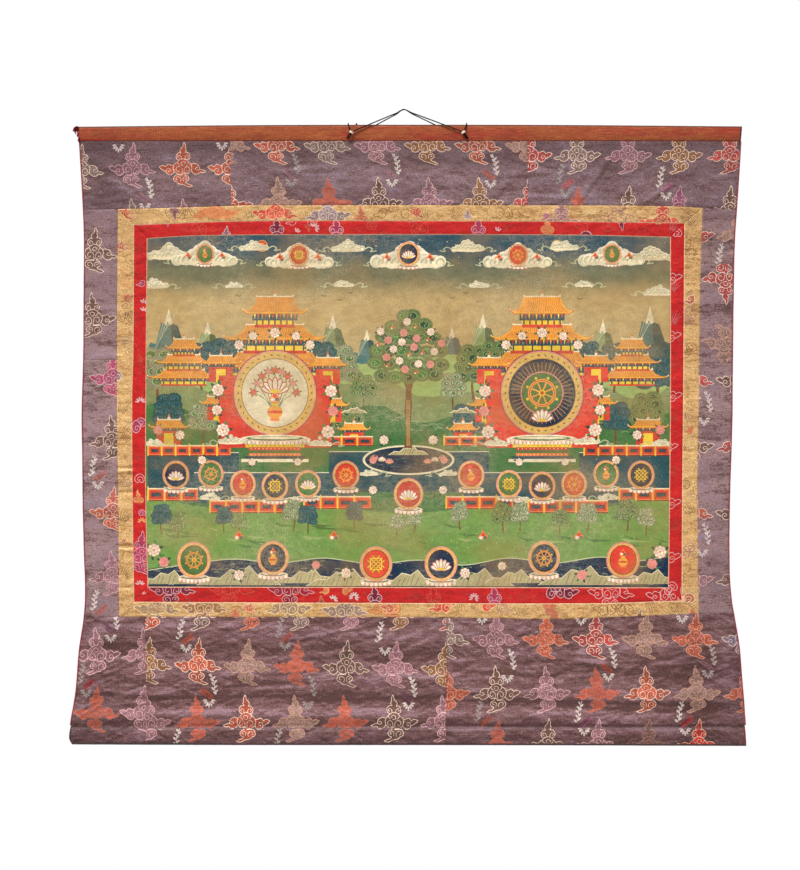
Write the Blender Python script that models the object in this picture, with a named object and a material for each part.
"""Thangka scroll painting, hung by its cord.

Every cloth piece is a thin solid cut from one hanging sheet: its outline lies between named seam
lines, and its depth comes from one drape function, so neighbours stay in line across each seam.
Metres, +Z up. The front faces -Y. The origin is the underside of the cord where it hangs, and all
tables are in millimetres from there: x to the viewer's right, z up, y away from the viewer.
"""

import math
from typing import Callable, NamedTuple

import bmesh
import bpy
from mathutils import Matrix, Vector

MM = 0.001

# Cloth
CLOTH_HALF = 1.0          # half of a mounted cloth's thickness
SEAM_GAP = 0.3            # between two sewn pieces
CELL = 31.0               # usual face length along a piece
FINE_CELL = 16.0          # across the roll waves of the foot
STRIP_CELL = 34.0         # along the narrow strips

# Heading and rod sleeve
HOLE_X = (-112.2, 126.4)  # cord holes through the heading
HOLE_Z = -56.8
HOLE_WIDE = 6.8
HOLE_TALL = 4.2
SLEEVE_TOP = -1236.0      # stitched line above the rod sleeve
SLEEVE_HALF = 6.0
SLEEVE_ROWS = 6

# Cord, loops, whippings and piping
CORD = 2.4                # diameter
CORD_PITCH = 5.2          # distance between the points of a cord
LOOP_PITCH = 3.6
FINE_STEPS = 24           # of a route between two of its own points
STRAND_SPREAD = 2.9       # between the two strands in a hole
WHIP_WIDE = 3.9           # ring's middle line, half width and half depth
WHIP_DEEP = 2.6
WHIP_THREAD = 0.5
WHIP_BEND = 6             # the route point it binds, of the front strand and of the loop
WHIP_LEAN = 31.0          # degrees, square to the leaning strands
WHIP_Y = -7.9
PIPING = 2.6
PIPING_PITCH = 30.0
PIPING_FOOT = -1230.0


class Station(NamedTuple):
    """A row of a seam line: how far along it, and where the line lies across."""

    along: float
    across: float


class Fold(NamedTuple):
    """A soft ridge (lift above 0, towards the viewer) or trough in the hanging cloth."""

    x: float
    z: float
    slant: float    # degrees from level, rising to the right
    length: float
    width: float
    lift: float


class Girth(NamedTuple):
    """Half thickness of the heading, by the share of its height below the top."""

    share: float
    half: float


class Bend(NamedTuple):
    """A point on a cord's route, x from its hole towards the middle of the scroll."""

    x: float
    y: float
    z: float


# Upright lines: along is z, across is x.
SCROLL_LEFT = (
    Station(-62, -648), Station(-180, -641.2), Station(-260, -638.2), Station(-380, -639),
    Station(-500, -640), Station(-604, -643), Station(-680, -642), Station(-780, -641),
    Station(-880, -638.6), Station(-970, -636), Station(-1020, -639.4), Station(-1080, -648.4),
    Station(-1160, -654.8), Station(-1220, -664.6), Station(-1256, -669.5), Station(-1270, -663),
)
SCROLL_RIGHT = (
    Station(-62, 672.6), Station(-140, 668), Station(-200, 664), Station(-260, 660),
    Station(-360, 658), Station(-530, 656), Station(-630, 655), Station(-800, 650),
    Station(-920, 649.6), Station(-980, 654), Station(-1020, 660.8), Station(-1070, 669),
    Station(-1140, 675), Station(-1232, 682), Station(-1272, 684.5),
)
GOLD_LEFT = (
    Station(-200, -572.4), Station(-580, -574.2), Station(-780, -571.6), Station(-1012, -570),
)
GOLD_RIGHT = (
    Station(-200, 597), Station(-380, 592), Station(-570, 590), Station(-780, 587), Station(-1010, 589.6),
)
RED_LEFT = (
    Station(-230, -539.6), Station(-480, -541), Station(-580, -543.4), Station(-780, -542.4),
    Station(-980, -539.4),
)
RED_RIGHT = (Station(-230, 560.4), Station(-580, 558), Station(-780, 556), Station(-980, 555))
PICTURE_LEFT = (
    Station(-258, -512.8), Station(-580, -515.4), Station(-780, -515.4), Station(-950, -511.4),
)
PICTURE_RIGHT = (Station(-258, 532), Station(-580, 532), Station(-680, 531.2), Station(-950, 528))
TOP_SEAM_LEFT = (Station(-62, -348), Station(-195, -346))
TOP_SEAM_RIGHT = (Station(-62, 247), Station(-195, 248))
FOOT_SEAM_LEFT = (Station(-1010, -518), Station(-1150, -516), Station(-1272, -517))
FOOT_SEAM_RIGHT = (Station(-1010, 84), Station(-1150, 85), Station(-1272, 83))

# Level lines: along is x, across is z.
HEADING_TOP = (
    Station(-656, -33.6), Station(-300, -30.4), Station(8, -29.6), Station(320, -30.2), Station(676, -33),
)
HEADING_FOOT = (Station(-648, -62), Station(0, -61.6), Station(672, -62))
TOP_SEAM = (
    Station(-648, -199.4), Station(-572, -198.4), Station(-408, -194), Station(-308, -190.8),
    Station(440, -191.2), Station(552, -193.4), Station(604, -196.4), Station(664, -199.4),
)
RED_TOP = (
    Station(-540, -230.4), Station(-308, -222.8), Station(92, -222.8), Station(332, -224), Station(563, -227),
)
PICTURE_TOP = (
    Station(-513, -257.8), Station(-408, -252), Station(-108, -250), Station(332, -250.8), Station(532, -255),
)
PICTURE_FOOT = (Station(-513, -953.2), Station(0, -954), Station(530, -954.6))
RED_FOOT = (Station(-540, -983.4), Station(-208, -985), Station(372, -986.4), Station(555, -981))
FOOT_SEAM = (
    Station(-642, -1013), Station(-208, -1014), Station(82, -1014.6), Station(240, -1017.4),
    Station(330, -1017.6), Station(420, -1014), Station(592, -1007), Station(660, -1006),
)
SCROLL_FOOT = (Station(-670, -1269), Station(-400, -1270), Station(200, -1270.5), Station(686, -1272))
LEFT_SEAM = (Station(-645, -500), Station(-570, -500))
RIGHT_UPPER_SEAM = (Station(585, -307.6), Station(662, -307.6))
RIGHT_LOWER_SEAM = (Station(585, -506.6), Station(662, -506.6))

HEADING_ENDS = (-650, 671)  # x of its lower corners, so that its ends slant
HEADING_GIRTH = (
    Girth(0.0, 1.2), Girth(0.07, 3.2), Girth(0.18, 4.3), Girth(0.5, 4.5), Girth(0.68, 4.0),
    Girth(0.78, 2.2), Girth(0.9, 1.3), Girth(1.0, 1.0),
)

FOLDS = (
    # roll waves of the foot, left, middle and right
    Fold(-420, -1046, 1.0, 420, 15, 1.8), Fold(-380, -1086, -1.2, 560, 17, -2.6),
    Fold(-440, -1128, 0.6, 460, 18, 2.4), Fold(-360, -1188, -0.5, 640, 16, -3.2),
    Fold(-400, -1212, 0.4, 620, 11, 3.0),
    Fold(30, -1060, -0.8, 380, 18, 1.6), Fold(60, -1102, 0.8, 520, 20, -2.4),
    Fold(20, -1144, 1.0, 420, 17, 2.6), Fold(120, -1190, -0.4, 560, 16, -3.4),
    Fold(80, -1214, 0.3, 600, 11, 2.8),
    Fold(430, -1050, 1.8, 380, 17, -2.0), Fold(470, -1092, 1.2, 460, 18, 2.8),
    Fold(460, -1136, -1.0, 420, 18, -2.6), Fold(520, -1178, 0.8, 360, 16, 2.0),
    Fold(500, -1202, -0.4, 420, 12, -2.8),
    # slanting drags below the frame and beside it
    Fold(-344, -1030, 22, 90, 9, 1.8), Fold(560, -1036, -34, 120, 13, 2.6),
    Fold(-590, -1046, 38, 130, 14, 3.2),
    # the top widths
    Fold(384, -140, 56, 110, 11, 2.2), Fold(506, -172, 31, 70, 9, 1.6),
    Fold(252, -130, 1, 130, 10, 1.6), Fold(250, -168, -2, 140, 9, -1.6),
    Fold(-480, -128, 3, 260, 16, -1.8), Fold(-120, -150, -2, 320, 18, 1.6),
    Fold(-560, -158, -28, 120, 12, 2.0), Fold(40, -110, 1, 300, 14, -1.4),
    # side borders
    Fold(-606, -330, 8, 90, 15, 2.2), Fold(-604, -470, -6, 90, 16, -2.2),
    Fold(-606, -640, 5, 90, 18, 2.0), Fold(-604, -800, -8, 90, 20, 2.4),
    Fold(-606, -930, 12, 100, 17, -2.6), Fold(628, -250, -10, 90, 14, 2.2),
    Fold(624, -410, 7, 90, 17, -2.2), Fold(624, -600, -5, 90, 19, 2.4),
    Fold(620, -740, 9, 90, 18, -2.0), Fold(622, -890, -12, 100, 18, 2.6),
    # upright turns where the foot flares
    Fold(-632, -1150, 82, 190, 16, 5.0), Fold(-574, -1150, 88, 190, 20, -3.0),
    Fold(650, -1130, 98, 210, 17, 5.0), Fold(590, -1160, 93, 180, 22, -3.4),
    # the picture, slack between its frames
    Fold(-260, -420, 2, 460, 30, 1.6), Fold(230, -500, -2, 480, 34, -1.6),
    Fold(-120, -640, 1, 620, 32, 1.8), Fold(300, -760, -1, 420, 30, 1.6),
    Fold(-320, -820, 1, 380, 28, -1.8), Fold(60, -900, 1, 560, 24, -1.6),
)
BELLY = 3.0               # the whole sheet's soft forward bow
EDGE_TURN = 6.0           # how far the side borders turn back
EDGE_TURN_FROM = 560.0
STIFF_BELOW_HEADING = 55.0

# Half of a hanging cord, from its hole to the hanging point, as it runs on the left side.
FRONT_ROUTE = (
    Bend(0, -0.3, -56.8), Bend(0, -2.6, -56.8), Bend(0.8, -6.0, -55.8), Bend(2.6, -7.5, -52.9),
    Bend(4.5, -7.8, -49.8), Bend(5.8, -7.8, -47.7), Bend(6.8, -7.8, -46.1), Bend(8.9, -7.6, -44.1),
    Bend(12.6, -6.7, -41.8), Bend(32, -6.1, -33.4), Bend(48, -5.2, -26.6), Bend(82, -2.6, -12.1),
    Bend(97, -1.6, -5.8),
)
BACK_ROUTE = (
    Bend(0, 0.3, -56.8), Bend(0, 2.6, -56.8), Bend(0.8, 5.2, -54.9), Bend(3.4, 6.1, -53.2),
    Bend(23, 6.1, -46.4), Bend(46, 6.1, -34.4), Bend(59, 5.2, -27.4), Bend(82, 2.8, -15.2),
    Bend(97, 1.6, -7.2),
)
# Over the hanging point both strands share these, one behind the other; x is from the point.
APEX_ROUTE = (Bend(-5.4, 0, -1.9), Bend(0, 0, 0), Bend(5.4, 0, -1.9))
APEX_DEPTH = 1.4
LOOP_ROUTE = (
    Bend(0, 0, -57.1), Bend(0, -2.8, -56.5), Bend(1.2, -5.9, -54.6), Bend(3.0, -7.5, -51.5),
    Bend(4.9, -7.8, -48.4), Bend(6.2, -7.8, -46.3), Bend(7.2, -7.8, -44.7), Bend(6.8, -7.2, -41.4),
    Bend(5.0, -6.3, -37.2), Bend(3.4, -5.6, -33.2), Bend(2.4, -3.2, -28.4), Bend(2.2, 0, -26.8),
    Bend(2.2, 3.2, -28.4), Bend(2.0, 5.8, -33.4), Bend(1.4, 6.2, -42.0), Bend(0.6, 6.0, -51.6),
    Bend(0, 2.8, -56.2),
)

COLOURS = {
    "heading": (0.45, 0.09, 0.035), "brocade": (0.16, 0.105, 0.155), "gold": (0.70, 0.46, 0.18),
    "red": (0.60, 0.012, 0.016), "picture": (0.22, 0.26, 0.14), "piping": (0.30, 0.02, 0.05),
    "cord": (0.012, 0.011, 0.012), "thread": (0.80, 0.77, 0.68),
}
ROUGHNESS = 0.75

Side = Callable[[float], Vector]


def remove_all() -> None:
    """Empty the file."""
    for thing in list(bpy.data.objects):
        bpy.data.objects.remove(thing, do_unlink=True)


def collection(name: str) -> bpy.types.Collection:
    """Make a collection in the scene."""
    made = bpy.data.collections.new(name)
    bpy.context.scene.collection.children.link(made)
    return made


def finish(name: str) -> bpy.types.Material:
    """The material of a kind of piece, made once."""
    if name in bpy.data.materials:
        return bpy.data.materials[name]
    material = bpy.data.materials.new(name)
    material.use_nodes = True
    shader = material.node_tree.nodes["Principled BSDF"]
    shader.inputs["Base Color"].default_value = (*COLOURS[name], 1.0)
    shader.inputs["Roughness"].default_value = ROUGHNESS
    shader.inputs["Metallic"].default_value = 0.0
    return material


def smooth(rows: tuple, at: float) -> float:
    """Read a table of two columns as one smooth line; it runs on straight past its ends."""
    if rows[0][0] > rows[-1][0]:
        rows = rows[::-1]
    inner = max(0, min(len(rows) - 2, sum(1 for row in rows if row[0] <= at) - 1))
    slopes = [
        (rows[min(k + 1, len(rows) - 1)][1] - rows[max(k - 1, 0)][1])
        / (rows[min(k + 1, len(rows) - 1)][0] - rows[max(k - 1, 0)][0])
        for k in (inner, inner + 1)
    ]
    (a, low), (b, high) = rows[inner], rows[inner + 1]
    span = b - a
    t = (at - a) / span
    if t < 0:
        return low + slopes[0] * (at - a)
    if t > 1:
        return high + slopes[1] * (at - b)
    return (
        (2 * t**3 - 3 * t**2 + 1) * low + (t**3 - 2 * t**2 + t) * span * slopes[0]
        + (3 * t**2 - 2 * t**3) * high + (t**3 - t**2) * span * slopes[1]
    )


def fold_lift(fold: Fold, x: float, z: float) -> float:
    """How far one fold brings the cloth forward at a place."""
    angle = math.radians(fold.slant)
    along = (x - fold.x) * math.cos(angle) + (z - fold.z) * math.sin(angle)
    across = (z - fold.z) * math.cos(angle) - (x - fold.x) * math.sin(angle)
    return fold.lift * math.exp(-((across / fold.width) ** 2) - (2 * along / fold.length) ** 4)


def drape(x: float, z: float) -> float:
    """Depth of the hanging cloth's middle, away from the viewer."""
    height = min(1.0, max(0.0, (SCROLL_LEFT[0].along - z) / STIFF_BELOW_HEADING))
    ease = height * height * (3 - 2 * height)
    down = (SCROLL_LEFT[0].along - z) / (SCROLL_LEFT[0].along - SLEEVE_TOP)
    bow = BELLY * math.sin(math.pi * min(1.0, down)) * math.cos(x / 460.0)
    past = max(0.0, abs(x) - EDGE_TURN_FROM) / (-SCROLL_LEFT[0].across - EDGE_TURN_FROM)
    turn = EDGE_TURN * past * past * max(0.0, math.sin(math.pi * min(1.0, down * 0.95)))
    return ease * (turn - bow - sum(fold_lift(fold, x, z) for fold in FOLDS))


def corner(upright: tuple, level: tuple) -> Vector:
    """Where an upright line meets a level one."""
    z = level[0].across
    for _ in range(8):
        x = smooth(upright, z)
        z = smooth(level, x)
    return Vector((x, z))


def level_side(level: tuple, start: Vector, end: Vector) -> Side:
    """A side that follows a level line between two corners."""
    def place(t: float) -> Vector:
        x = start.x + t * (end.x - start.x)
        return Vector((x, smooth(level, x)))
    return place


def upright_side(upright: tuple, start: Vector, end: Vector) -> Side:
    """A side that follows an upright line between two corners."""
    def place(t: float) -> Vector:
        z = start.y + t * (end.y - start.y)
        return Vector((smooth(upright, z), z))
    return place


def straight_side(start: Vector, end: Vector) -> Side:
    """A straight side, such as a mitre."""
    return lambda t: start.lerp(end, t)


def even(count: int) -> list:
    """Shares from 0 to 1 in equal steps."""
    return [k / count for k in range(count + 1)]


def pitched(length: float, cell: float) -> list:
    """Equal shares of a length, each about one cell."""
    return even(max(1, round(length / cell)))


class Piece(NamedTuple):
    """A cloth piece: four sides, the places of its rows and columns, and half its thickness."""

    name: str
    look: str
    top: Side
    bottom: Side
    left: Side
    right: Side
    across: list
    down: list
    half: Callable[[float, float], float]
    mitred: bool = False


def inset(shares: list, length: float, mitred: bool) -> list:
    """Draw a piece's shares in from both ends by half a seam gap."""
    margin = SEAM_GAP / 2 / length * (1.5 if mitred else 1.0)
    return [margin + share * (1 - 2 * margin) for share in shares]


def inside(piece: Piece, u: float, v: float) -> Vector:
    """The place at a share across and down a piece, blended from its four sides."""
    ends = (piece.left(v).lerp(piece.right(v), u), piece.top(u).lerp(piece.bottom(u), v))
    upper = piece.left(0).lerp(piece.right(0), u)
    lower = piece.left(1).lerp(piece.right(1), u)
    return ends[0] + ends[1] - upper.lerp(lower, v)


def cloth_half(x: float, z: float) -> float:
    """Half thickness of flat cloth."""
    return CLOTH_HALF


def sleeve_half(x: float, z: float) -> float:
    """Half thickness of a foot width, with the rod sleeve turned up at its foot."""
    share = (SLEEVE_TOP - z) / (SLEEVE_TOP - smooth(SCROLL_FOOT, x))
    if not 0 < share < 1:
        return CLOTH_HALF
    return CLOTH_HALF + (SLEEVE_HALF - CLOTH_HALF) * math.sqrt(1 - (2 * share - 1) ** 2)


def heading_half(x: float, z: float) -> float:
    """Half thickness of the heading, thick where the batten lies in it."""
    top = smooth(HEADING_TOP, x)
    share = (top - z) / (top - smooth(HEADING_FOOT, x))
    rows = HEADING_GIRTH
    for upper, lower in zip(rows, rows[1:]):
        if share <= lower.share:
            part = max(0.0, (share - upper.share) / (lower.share - upper.share))
            return upper.half + part * (lower.half - upper.half)
    return rows[-1].half


def sew(piece: Piece, parts: bpy.types.Collection) -> bpy.types.Object:
    """Make a cloth piece: a grid laid between its sides, pushed into its folds and thickened."""
    wide = (piece.top(1) - piece.top(0)).length
    tall = (piece.left(1) - piece.left(0)).length
    across = inset(piece.across, wide, piece.mitred and wide > tall)
    down = inset(piece.down, tall, piece.mitred and tall > wide)
    columns, rows = len(across) - 1, len(down) - 1
    mesh = bpy.data.meshes.new(piece.name)
    shape = bmesh.new()
    bmesh.ops.create_grid(shape, x_segments=columns, y_segments=rows, size=0.5)
    half = {}
    for vert in shape.verts:
        u = across[round((vert.co.x + 0.5) * columns)]
        v = down[round((0.5 - vert.co.y) * rows)]
        place = inside(piece, u, v)
        depth = drape(place.x, place.y)
        half[vert] = piece.half(place.x, place.y)
        vert.co = Vector((place.x, depth - half[vert], place.y)) * MM
    thickness = {tuple(vert.co): 2 * half[vert] * MM for vert in shape.verts}
    copied = bmesh.ops.extrude_face_region(shape, geom=shape.faces[:])
    for vert in (item for item in copied["geom"] if isinstance(item, bmesh.types.BMVert)):
        vert.co.y += thickness[tuple(vert.co)]
    bmesh.ops.recalc_face_normals(shape, faces=shape.faces[:])
    shape.to_mesh(mesh)
    shape.free()
    made = bpy.data.objects.new(piece.name, mesh)
    mesh.materials.append(finish(piece.look))
    mesh.shade_smooth()
    mesh.set_sharp_from_angle(angle=math.radians(40))
    parts.objects.link(made)
    return made


def rectangle(name: str, look: str, lines: tuple, cells: tuple, half=cloth_half) -> Piece:
    """A piece between an upper and a lower level line and a left and a right upright one."""
    upper, lower, left, right = lines
    corners = (corner(left, upper), corner(right, upper), corner(left, lower), corner(right, lower))
    return Piece(
        name, look,
        level_side(upper, corners[0], corners[1]), level_side(lower, corners[2], corners[3]),
        upright_side(left, corners[0], corners[2]), upright_side(right, corners[1], corners[3]),
        pitched((corners[1] - corners[0]).length, cells[0]),
        pitched((corners[2] - corners[0]).length, cells[1]),
        half,
    )


def frame_strips(look: str, outer: tuple, inner: tuple) -> list:
    """Four mitred strips between an outer and an inner ring of lines."""
    upper, lower, left, right = outer
    in_upper, in_lower, in_left, in_right = inner
    out = [corner(left, upper), corner(right, upper), corner(left, lower), corner(right, lower)]
    ins = [corner(in_left, in_upper), corner(in_right, in_upper),
           corner(in_left, in_lower), corner(in_right, in_lower)]
    mitres = [straight_side(a, b) for a, b in zip(out, ins)]
    back = [straight_side(b, a) for a, b in zip(out, ins)]
    level = pitched((out[1] - out[0]).length, STRIP_CELL)
    upright = pitched((out[2] - out[0]).length, STRIP_CELL)
    single = even(1)
    return [
        Piece(look + "_top", look, level_side(upper, out[0], out[1]), level_side(in_upper, ins[0], ins[1]),
              mitres[0], mitres[1], level, single, cloth_half, True),
        Piece(look + "_bottom", look, level_side(in_lower, ins[2], ins[3]),
              level_side(lower, out[2], out[3]), back[2], back[3], level, single, cloth_half, True),
        Piece(look + "_left", look, mitres[0], mitres[2], upright_side(left, out[0], out[2]),
              upright_side(in_left, ins[0], ins[2]), single, upright, cloth_half, True),
        Piece(look + "_right", look, back[1], back[3], upright_side(in_right, ins[1], ins[3]),
              upright_side(right, out[1], out[3]), single, upright, cloth_half, True),
    ]


def foot_width(name: str, left: tuple, right: tuple) -> Piece:
    """A width of brocade below the picture, with close rows round its rod sleeve."""
    flat = rectangle(name, "brocade", (FOOT_SEAM, SCROLL_FOOT, left, right), (CELL, FINE_CELL), sleeve_half)
    top, foot = flat.left(0).y, flat.left(1).y
    turn = (top - SLEEVE_TOP) / (top - foot)
    hang = [turn * share for share in pitched(top - SLEEVE_TOP, FINE_CELL)]
    sleeve = [
        turn + (1 - turn) * (1 - math.cos(math.pi * k / SLEEVE_ROWS)) / 2 for k in range(1, SLEEVE_ROWS + 1)
    ]
    return flat._replace(down=hang + sleeve)


def heading_piece() -> Piece:
    """The stiff woven heading, its ends cut on the slant."""
    upper = [Vector((HEADING_TOP[k].along, HEADING_TOP[k].across)) for k in (0, -1)]
    lower = [Vector((x, smooth(HEADING_FOOT, x))) for x in HEADING_ENDS]
    return Piece(
        "heading", "heading",
        level_side(HEADING_TOP, *upper), level_side(HEADING_FOOT, *lower),
        straight_side(upper[0], lower[0]), straight_side(upper[1], lower[1]),
        pitched((upper[1] - upper[0]).length, 2 * CELL), [girth.share for girth in HEADING_GIRTH],
        heading_half,
    )


def pierce(heading: bpy.types.Object, cutters: bpy.types.Collection) -> None:
    """Cut the two oval cord holes through the heading."""
    for number, x in enumerate(HOLE_X):
        bpy.ops.mesh.primitive_cylinder_add(
            vertices=16, radius=0.5 * HOLE_WIDE * MM, depth=30 * MM, end_fill_type="TRIFAN",
            location=(x * MM, 0, HOLE_Z * MM), rotation=(math.pi / 2, 0, 0),
        )
        cutter = bpy.context.object
        cutter.name = f"cord_hole_{number}"
        cutter.scale = (1, HOLE_TALL / HOLE_WIDE, 1)
        cutter.hide_render = True
        cutter.display_type = "WIRE"
        for used in list(cutter.users_collection):
            used.objects.unlink(cutter)
        cutters.objects.link(cutter)
        cut = heading.modifiers.new(f"cord hole {number}", "BOOLEAN")
        cut.operation = "DIFFERENCE"
        cut.object = cutter


def smooth_run(points: list, closed: bool) -> list:
    """Fine points on a smooth curve through the given ones, which may lie unevenly."""
    count = len(points)
    fine = []
    for k in range(count if closed else count - 1):
        if closed:
            four = [points[(k + j) % count] for j in (-1, 0, 1, 2)]
        else:
            four = [points[max(0, min(count - 1, k + j))] for j in (-1, 0, 1, 2)]
        gaps = [max(1e-6, math.sqrt((b - a).length)) for a, b in zip(four, four[1:])]
        rates = [(b - a) / gap for a, b, gap in zip(four, four[1:], gaps)]
        if four[0] == four[1]:
            rates[0], gaps[0] = rates[1], gaps[1]
        if four[2] == four[3]:
            rates[2], gaps[2] = rates[1], gaps[1]
        leave = (rates[0] * gaps[1] + rates[1] * gaps[0]) / (gaps[0] + gaps[1]) * gaps[1]
        reach = (rates[1] * gaps[2] + rates[2] * gaps[1]) / (gaps[1] + gaps[2]) * gaps[1]
        for step in range(FINE_STEPS):
            t = step / FINE_STEPS
            fine.append(
                (2 * t**3 - 3 * t**2 + 1) * four[1] + (t**3 - 2 * t**2 + t) * leave
                + (3 * t**2 - 2 * t**3) * four[2] + (t**3 - t**2) * reach
            )
    fine.append(points[0] if closed else points[-1])
    return fine


def resample(points: list, pitch: float, closed: bool = False) -> list:
    """Even points on a smooth curve through the given ones."""
    fine = smooth_run(points, closed)
    run = [0.0]
    for a, b in zip(fine, fine[1:]):
        run.append(run[-1] + (b - a).length)
    steps = max(2, round(run[-1] / pitch))
    made, k = [], 0
    for number in range(steps if closed else steps + 1):
        want = run[-1] * number / steps
        while k < len(run) - 2 and run[k + 1] < want:
            k += 1
        part = (want - run[k]) / max(1e-9, run[k + 1] - run[k])
        made.append(fine[k].lerp(fine[k + 1], part))
    return made


def tube(name: str, look: str, points: list, diameter: float, parts: bpy.types.Collection,
         closed: bool = False) -> bpy.types.Object:
    """A round cord through the given points."""
    curve = bpy.data.curves.new(name, "CURVE")
    curve.dimensions = "3D"
    curve.bevel_depth = 0.5 * diameter * MM
    curve.bevel_resolution = 2
    curve.use_fill_caps = not closed
    spline = curve.splines.new("POLY")
    spline.points.add(len(points) - 1)
    for slot, point in zip(spline.points, points):
        slot.co = (*(point * MM), 1.0)
    spline.use_cyclic_u = closed
    curve.materials.append(finish(look))
    made = bpy.data.objects.new(name, curve)
    parts.objects.link(made)
    return made


def strand(route: tuple, side: int, offset: float) -> list:
    """A half route's points on one side: side 0 is the left hole, side 1 the right.

    The right hole is farther from the hanging point, so its route is stretched to match.
    """
    inward = 1 if side == 0 else -1
    stretch = abs(HOLE_X[side] / HOLE_X[0])
    return [Vector((HOLE_X[side] + inward * (offset + stretch * bend.x), bend.y, bend.z)) for bend in route]


def hanging_cord(name: str, route: tuple, depth: float, parts: bpy.types.Collection) -> None:
    """A run of cord from the left hole over the hanging point to the right hole."""
    apex = [Vector((bend.x, depth, bend.z + CORD / 2)) for bend in APEX_ROUTE]
    points = strand(route, 0, STRAND_SPREAD / 2) + apex + strand(route, 1, STRAND_SPREAD / 2)[::-1]
    run = [points[0], *resample(points[1:-1], CORD_PITCH), points[-1]]
    tube(name, "cord", run, CORD, parts)


def whipping(name: str, side: int, parts: bpy.types.Collection) -> None:
    """White thread bound round the cord and the loop in front of the heading."""
    bound = (
        *strand(LOOP_ROUTE[WHIP_BEND : WHIP_BEND + 1], side, -STRAND_SPREAD / 2),
        *strand(FRONT_ROUTE[WHIP_BEND : WHIP_BEND + 1], side, STRAND_SPREAD / 2),
    )
    middle = (bound[0] + bound[1]) / 2
    lean = Matrix.Rotation(math.radians(-WHIP_LEAN if side else WHIP_LEAN), 3, "Y")
    bpy.ops.mesh.primitive_torus_add(
        major_segments=18, minor_segments=8, major_radius=WHIP_WIDE * MM, minor_radius=WHIP_THREAD * MM,
    )
    made = bpy.context.object
    made.name = name
    made.data.name = name
    for vert in made.data.vertices:
        reach = math.hypot(vert.co.x, vert.co.y)
        ring = Vector((vert.co.x, vert.co.y, 0)) / reach
        out = reach - WHIP_WIDE * MM
        flat = Vector((ring.x * (WHIP_WIDE * MM + out), ring.y * (WHIP_DEEP * MM + out), vert.co.z))
        vert.co = lean @ flat + Vector((middle.x, WHIP_Y, middle.z)) * MM
    made.data.materials.append(finish("thread"))
    for used in list(made.users_collection):
        used.objects.unlink(made)
    parts.objects.link(made)


def piping(name: str, edge: tuple, outward: int, parts: bpy.types.Collection) -> None:
    """Red piping along a side edge, down to the rod sleeve."""
    top = SCROLL_LEFT[0].along - SEAM_GAP
    points = []
    for share in pitched(top - PIPING_FOOT, PIPING_PITCH):
        z = top + share * (PIPING_FOOT - top)
        x = smooth(edge, z)
        points.append(Vector((x + outward * (PIPING / 2 + SEAM_GAP), drape(x, z), z)))
    tube(name, "piping", points, PIPING, parts)


def build() -> None:
    """Make every piece of the scroll."""
    remove_all()
    parts = collection("thangka_scroll")
    cutters = collection("cutters")
    pierce(sew(heading_piece(), parts), cutters)

    top_lines = (HEADING_FOOT, TOP_SEAM)
    cloth = [
        rectangle("brocade_top_left", "brocade", (*top_lines, SCROLL_LEFT, TOP_SEAM_LEFT), (CELL, CELL)),
        rectangle("brocade_top_middle", "brocade",
                  (*top_lines, TOP_SEAM_LEFT, TOP_SEAM_RIGHT), (CELL, CELL)),
        rectangle("brocade_top_right", "brocade", (*top_lines, TOP_SEAM_RIGHT, SCROLL_RIGHT), (CELL, CELL)),
        rectangle("brocade_left_upper", "brocade",
                  (TOP_SEAM, LEFT_SEAM, SCROLL_LEFT, GOLD_LEFT), (CELL, CELL)),
        rectangle("brocade_left_lower", "brocade",
                  (LEFT_SEAM, FOOT_SEAM, SCROLL_LEFT, GOLD_LEFT), (CELL, CELL)),
        rectangle("brocade_right_upper", "brocade",
                  (TOP_SEAM, RIGHT_UPPER_SEAM, GOLD_RIGHT, SCROLL_RIGHT), (CELL, CELL)),
        rectangle("brocade_right_middle", "brocade",
                  (RIGHT_UPPER_SEAM, RIGHT_LOWER_SEAM, GOLD_RIGHT, SCROLL_RIGHT), (CELL, CELL)),
        rectangle("brocade_right_lower", "brocade",
                  (RIGHT_LOWER_SEAM, FOOT_SEAM, GOLD_RIGHT, SCROLL_RIGHT), (CELL, CELL)),
        foot_width("brocade_bottom_left", SCROLL_LEFT, FOOT_SEAM_LEFT),
        foot_width("brocade_bottom_middle", FOOT_SEAM_LEFT, FOOT_SEAM_RIGHT),
        foot_width("brocade_bottom_right", FOOT_SEAM_RIGHT, SCROLL_RIGHT),
        rectangle("picture", "picture", (PICTURE_TOP, PICTURE_FOOT, PICTURE_LEFT, PICTURE_RIGHT), (44, 40)),
    ]
    gold_lines = (TOP_SEAM, FOOT_SEAM, GOLD_LEFT, GOLD_RIGHT)
    red_lines = (RED_TOP, RED_FOOT, RED_LEFT, RED_RIGHT)
    picture_lines = (PICTURE_TOP, PICTURE_FOOT, PICTURE_LEFT, PICTURE_RIGHT)
    cloth += frame_strips("gold", gold_lines, red_lines) + frame_strips("red", red_lines, picture_lines)
    for piece in cloth:
        sew(piece, parts)

    piping("piping_left", SCROLL_LEFT, -1, parts)
    piping("piping_right", SCROLL_RIGHT, 1, parts)
    hanging_cord("cord_front", FRONT_ROUTE, -APEX_DEPTH, parts)
    hanging_cord("cord_back", BACK_ROUTE, APEX_DEPTH, parts)
    for side, name in enumerate(("left", "right")):
        loop = resample(strand(LOOP_ROUTE, side, -STRAND_SPREAD / 2), LOOP_PITCH, closed=True)
        tube(f"loop_{name}", "cord", loop, CORD, parts, closed=True)
        whipping(f"knot_{name}", side, parts)


build()
